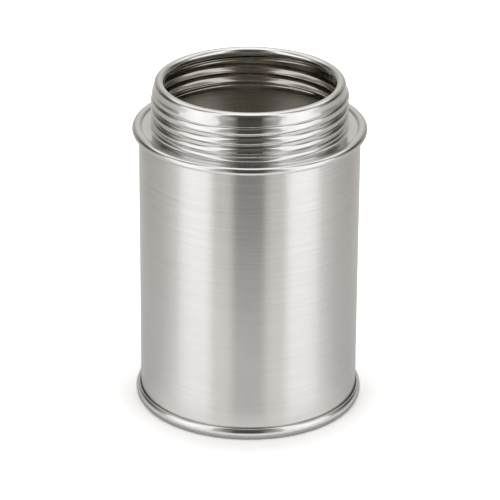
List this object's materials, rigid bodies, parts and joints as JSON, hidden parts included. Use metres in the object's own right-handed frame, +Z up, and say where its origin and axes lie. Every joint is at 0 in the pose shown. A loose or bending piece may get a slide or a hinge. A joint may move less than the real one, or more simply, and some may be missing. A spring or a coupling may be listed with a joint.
{
  "type": "screw-neck utility can",
  "caption": "Small round steel utility can, open, with a wide rolled-thread neck, a seamed shoulder roll and a seamed countersunk bottom.",
  "frame": {"origin": "centre of the can's axis on the plane that its foot stands on", "axes": "+Z up along the can's axis towards the mouth, -Y towards the front, +Y towards the body's welded lap"},
  "size_m": [0.0572, 0.0572, 0.0837],
  "materials": {
    "brushed_steel": "brushed round the body, satin, clear",
    "bright_steel": "bright, lightly brushed by rolling",
    "seam_compound": "matt, hidden in the seams"
  },
  "bodies": {
    "root": {"body": "brushed_steel", "bottom_end": "bright_steel", "threaded_top": "bright_steel", "bottom_seam_compound": "seam_compound", "top_seam_compound": "seam_compound"}
  },
  "joints": []
}
